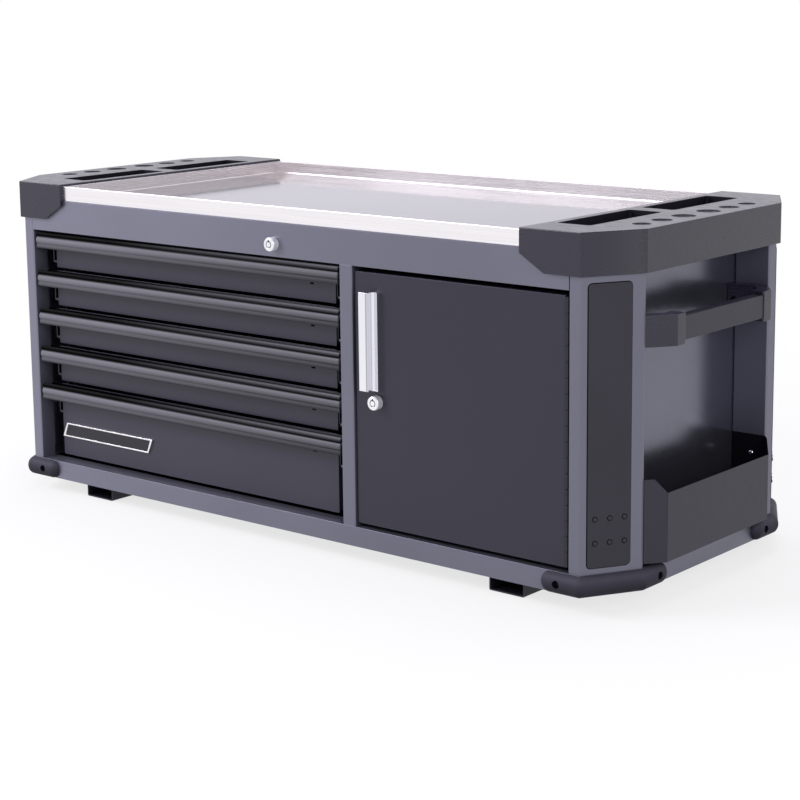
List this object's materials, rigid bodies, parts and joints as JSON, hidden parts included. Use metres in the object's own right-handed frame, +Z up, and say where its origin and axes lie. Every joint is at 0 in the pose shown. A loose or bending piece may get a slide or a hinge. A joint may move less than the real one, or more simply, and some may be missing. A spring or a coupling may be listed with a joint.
{
  "type": "tool cabinet",
  "caption": "Low metal tool cabinet with drawers, a hinged cupboard door, a rimmed tray top, tool-holder end caps, side handles and a side bin.",
  "frame": {"origin": "centre of the footprint at floor level, under the runners", "axes": "+X to the viewer's right along the length, +Y from front to back, +Z up"},
  "size_m": [1.445, 0.614, 0.6],
  "materials": {
    "body_grey": "fine satin powder coat",
    "front_dark": "satin dark paint",
    "cap_plastic": "fine grained moulding",
    "insert_plastic": "soft matt",
    "bumper_rubber": "matt",
    "stainless": "bright brushed",
    "board": "raw board",
    "zinc": "zinc plated",
    "chrome": "polished",
    "aluminium_pull": "dark anodised satin",
    "handle_aluminium": "bright anodised",
    "black_steel": "black powder coat",
    "screw_black": "black oxide",
    "nylon": "natural"
  },
  "bodies": {
    "casing": {"back_panel": "body_grey", "base_frame": "body_grey", "base_pan": "body_grey", "bumper_screws": "screw_black", "centre_post": "body_grey", "corner_bumpers": "bumper_rubber", "cupboard_shelf": "body_grey", "end_cap_left": "cap_plastic", "end_cap_right": "cap_plastic", "handle_mounts_left": "cap_plastic", "handle_mounts_right": "cap_plastic", "hinge_frame_leaf": "black_steel", "hinge_pin": "black_steel", "lock_bar_guides": "nylon", "partition": "body_grey", "post_front_left": "body_grey", "post_front_right": "body_grey", "post_inserts": "insert_plastic", "post_rear_left": "body_grey", "post_rear_right": "body_grey", "runners": "body_grey", "shelf_clips": "zinc", "side_bin": "black_steel", "side_handle_left": "black_steel", "side_handle_right": "black_steel", "side_panel_left": "body_grey", "side_panel_right": "body_grey", "side_screws": "chrome", "slide_outer_rails": "zinc", "slide_uprights": "zinc", "top_deck": "body_grey", "top_lock_barrel": "chrome", "top_rail": "body_grey", "tray_underlay": "board", "worktop_tray": "stainless"},
    "door": {"door_skin": "front_dark", "door_liner": "front_dark", "door_handle": "handle_aluminium", "door_lock_barrel": "chrome", "hinge_door_leaf": "black_steel"},
    "door_lock": {"door_lock_plug": "chrome"},
    "drawer_lock": {"top_lock_plug": "chrome", "lock_rod": "zinc"},
    "lock_bar": {"lock_bar": "zinc"},
    "drawer_1": {"drawer_1_box": "front_dark", "drawer_1_pull": "aluminium_pull"},
    "slide_1": {"slide_1_middle": "zinc"},
    "drawer_2": {"drawer_2_box": "front_dark", "drawer_2_pull": "aluminium_pull"},
    "slide_2": {"slide_2_middle": "zinc"},
    "drawer_3": {"drawer_3_box": "front_dark", "drawer_3_pull": "aluminium_pull"},
    "slide_3": {"slide_3_middle": "zinc"},
    "drawer_4": {"drawer_4_box": "front_dark", "drawer_4_pull": "aluminium_pull"},
    "slide_4": {"slide_4_middle": "zinc"},
    "drawer_5": {"drawer_5_box": "front_dark", "drawer_5_pull": "aluminium_pull", "drawer_plate": "chrome"},
    "slide_5": {"slide_5_middle": "zinc"}
  },
  "joints": [
    {"name": "drawer_1_slide", "type": "slide", "parent": "casing", "child": "drawer_1", "axis": [0, -1, 0], "range_m": [0, 0.4]},
    {"name": "drawer_2_slide", "type": "slide", "parent": "casing", "child": "drawer_2", "axis": [0, -1, 0], "range_m": [0, 0.4]},
    {"name": "drawer_3_slide", "type": "slide", "parent": "casing", "child": "drawer_3", "axis": [0, -1, 0], "range_m": [0, 0.4]},
    {"name": "drawer_4_slide", "type": "slide", "parent": "casing", "child": "drawer_4", "axis": [0, -1, 0], "range_m": [0, 0.4]},
    {"name": "drawer_5_slide", "type": "slide", "parent": "casing", "child": "drawer_5", "axis": [0, -1, 0], "range_m": [0, 0.4]},
    {"name": "slide_1_travel", "type": "slide", "parent": "casing", "child": "slide_1", "axis": [0, -1, 0], "range_m": [0, 0.2]},
    {"name": "slide_2_travel", "type": "slide", "parent": "casing", "child": "slide_2", "axis": [0, -1, 0], "range_m": [0, 0.2]},
    {"name": "slide_3_travel", "type": "slide", "parent": "casing", "child": "slide_3", "axis": [0, -1, 0], "range_m": [0, 0.2]},
    {"name": "slide_4_travel", "type": "slide", "parent": "casing", "child": "slide_4", "axis": [0, -1, 0], "range_m": [0, 0.2]},
    {"name": "slide_5_travel", "type": "slide", "parent": "casing", "child": "slide_5", "axis": [0, -1, 0], "range_m": [0, 0.2]},
    {"name": "door_hinge", "type": "hinge", "parent": "casing", "child": "door", "pos_m": [0.61275, -0.2893, 0.286], "axis": [0, 0, 1], "range_deg": [0, 110]},
    {"name": "door_lock_turn", "type": "hinge", "parent": "door", "child": "door_lock", "pos_m": [0.2305, -0.288, 0.2845], "axis": [0, 1, 0], "range_deg": [0, 90]},
    {"name": "drawer_lock_turn", "type": "hinge", "parent": "casing", "child": "drawer_lock", "pos_m": [0.0075, -0.293, 0.5315], "axis": [0, 1, 0], "range_deg": [0, 90]},
    {"name": "lock_bar_slide", "type": "slide", "parent": "casing", "child": "lock_bar", "axis": [0, 0, 1], "range_m": [-0.006, 0]}
  ],
  "couplings": [
    {"joint": "slide_1_travel", "follows": "drawer_1_slide", "ratio": 0.5},
    {"joint": "slide_2_travel", "follows": "drawer_2_slide", "ratio": 0.5},
    {"joint": "slide_3_travel", "follows": "drawer_3_slide", "ratio": 0.5},
    {"joint": "slide_4_travel", "follows": "drawer_4_slide", "ratio": 0.5},
    {"joint": "slide_5_travel", "follows": "drawer_5_slide", "ratio": 0.5},
    {"joint": "drawer_lock_turn", "follows": "lock_bar_slide", "rad_per_m": -261.8}
  ]
}
